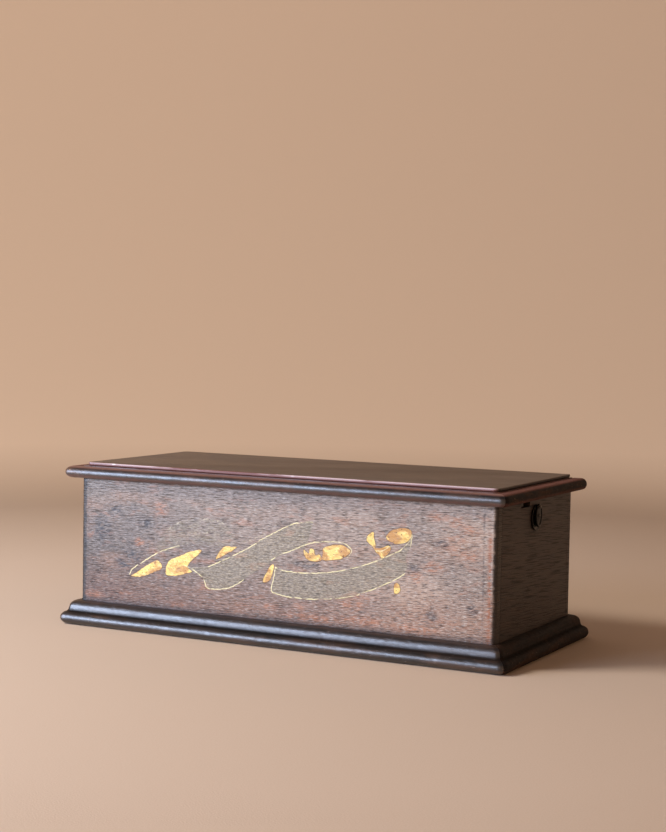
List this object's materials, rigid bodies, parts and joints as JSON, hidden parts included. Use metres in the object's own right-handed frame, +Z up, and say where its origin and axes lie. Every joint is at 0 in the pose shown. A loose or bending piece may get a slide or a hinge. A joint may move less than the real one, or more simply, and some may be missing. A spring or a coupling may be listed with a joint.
{
  "type": "cylinder musical box",
  "caption": "Low rectangular wooden musical box with moulded plinth and hinged lid, holding a pinned cylinder, comb, spring barrel and governor.",
  "frame": {"origin": "on the surface the box stands on, under the middle of its plinth", "axes": "+X along the front to the right, as seen by someone facing the inlaid front; +Z up; the front faces -Y"},
  "size_m": [0.4946, 0.2296, 0.1662],
  "materials": {
    "front_veneer": "purple-brown open-pored veneer with a worn satin varnish and a faded ribbon inlay",
    "ebonised_wood": "ebonised black-brown, semi-gloss, rubbed to brown on its edges",
    "lid_veneer": "grey-brown faded veneer, satin, reddish where the front edge is worn",
    "end_wood": "dark brown stained wood, satin",
    "inner_wood": "plain mid-brown wood, matt",
    "black_iron": "black, slightly glossy where rubbed",
    "brass": "aged lacquered brass",
    "steel": "ground steel, lightly darkened",
    "bedplate_paint": "cast iron with worn bronze paint",
    "glass": "clear old window glass",
    "card": "yellowed blank card"
  },
  "bodies": {
    "case": {"bottom_board": "inner_wood", "front_board": "front_veneer", "back_board": "end_wood", "left_end_board": "end_wood", "right_end_board": "end_wood", "plinth_front": "ebonised_wood", "plinth_right": "ebonised_wood", "plinth_back": "ebonised_wood", "plinth_left": "ebonised_wood", "left_partition": "inner_wood", "right_partition": "inner_wood", "inner_lid_rest": "inner_wood", "left_hinge_case_leaf": "brass", "right_hinge_case_leaf": "brass", "left_hinge_pin": "steel", "right_hinge_pin": "steel", "winding_plate": "black_iron", "cover_pin": "black_iron", "bedplate": "bedplate_paint", "cylinder_bridge_left": "brass", "cylinder_bridge_right": "brass", "barrel_bridge_left": "brass", "barrel_bridge_right": "brass", "winding_bush": "brass", "click_screw": "steel", "comb": "steel", "comb_base": "bedplate_paint", "governor_frame": "brass", "governor_cock": "brass", "stop_lever_bracket": "brass"},
    "lid": {"lid_board": "end_wood", "lid_moulding_front": "ebonised_wood", "lid_moulding_left": "ebonised_wood", "lid_moulding_right": "ebonised_wood", "lid_panel": "lid_veneer", "tune_card": "card", "left_hinge_lid_leaf": "brass", "right_hinge_lid_leaf": "brass"},
    "inner_lid": {"inner_lid_frame": "inner_wood", "inner_lid_glass": "glass", "inner_lid_knob": "brass"},
    "cover": {"winding_cover": "black_iron"},
    "cylinder": {"cylinder_drum": "brass", "cylinder_cap_left": "brass", "cylinder_cap_right": "brass", "cylinder_arbor": "steel", "great_wheel": "brass"},
    "barrel": {"barrel_drum": "brass", "barrel_cover": "brass", "mainspring": "steel"},
    "barrel_shaft": {"barrel_arbor": "steel", "ratchet_wheel": "steel", "winding_wheel": "brass"},
    "key_shaft": {"winding_arbor": "steel"},
    "click_pawl": {"click": "steel"},
    "governor": {"governor_arbor": "steel", "governor_wheel": "brass"},
    "fly_shaft": {"endless_screw": "steel", "fly": "brass"},
    "lever": {"stop_lever": "black_iron"}
  },
  "joints": [
    {"name": "lid_hinge", "type": "hinge", "parent": "case", "child": "lid", "pos_m": [0, 0.1007, 0.15015], "axis": [-1, 0, 0], "range_deg": [0, 95]},
    {"name": "inner_lid_hinge", "type": "hinge", "parent": "case", "child": "inner_lid", "pos_m": [0, 0.082, 0.142], "axis": [-1, 0, 0], "range_deg": [0, 82]},
    {"name": "cover_swing", "type": "hinge", "parent": "case", "child": "cover", "pos_m": [0.232, -0.002, 0.1422], "axis": [1, 0, 0], "range_deg": [-60, 60]},
    {"name": "cylinder_spin", "type": "hinge", "parent": "case", "child": "cylinder", "pos_m": [0, 0.048, 0.07], "axis": [-1, 0, 0], "continuous": true},
    {"name": "barrel_spin", "type": "hinge", "parent": "case", "child": "barrel", "pos_m": [0.107, 0.02, 0.092], "axis": [-1, 0, 0], "continuous": true},
    {"name": "governor_spin", "type": "hinge", "parent": "case", "child": "governor", "pos_m": [-0.118, 0.014, 0.07], "axis": [-1, 0, 0], "continuous": true},
    {"name": "fly_spin", "type": "hinge", "parent": "case", "child": "fly_shaft", "pos_m": [-0.118, -0.0096, 0.07], "axis": [0, 0, 1], "continuous": true},
    {"name": "winding_wheel_spin", "type": "hinge", "parent": "case", "child": "barrel_shaft", "pos_m": [0.18, 0.02, 0.092], "axis": [1, 0, 0], "continuous": true},
    {"name": "key_spin", "type": "hinge", "parent": "case", "child": "key_shaft", "pos_m": [0.2, -0.002, 0.132], "axis": [1, 0, 0], "continuous": true},
    {"name": "click_pivot", "type": "hinge", "parent": "case", "child": "click_pawl", "pos_m": [0.172, 0.026, 0.066], "axis": [-1, 0, 0], "range_deg": [0, 12], "stiffness_Nm_per_rad": 0.01, "springref_deg": -11.46},
    {"name": "stop_lever_rock", "type": "hinge", "parent": "case", "child": "lever", "pos_m": [0, -0.035, 0.024], "axis": [-1, 0, 0], "range_deg": [0, 5]}
  ],
  "couplings": [
    {"joint": "inner_lid_hinge", "follows": "lid_hinge", "ratio": 0.85},
    {"joint": "barrel_spin", "follows": "cylinder_spin", "ratio": -0.25},
    {"joint": "governor_spin", "follows": "cylinder_spin", "ratio": -4.6667},
    {"joint": "fly_spin", "follows": "cylinder_spin", "ratio": 93.333},
    {"joint": "key_spin", "follows": "winding_wheel_spin", "ratio": -3}
  ]
}
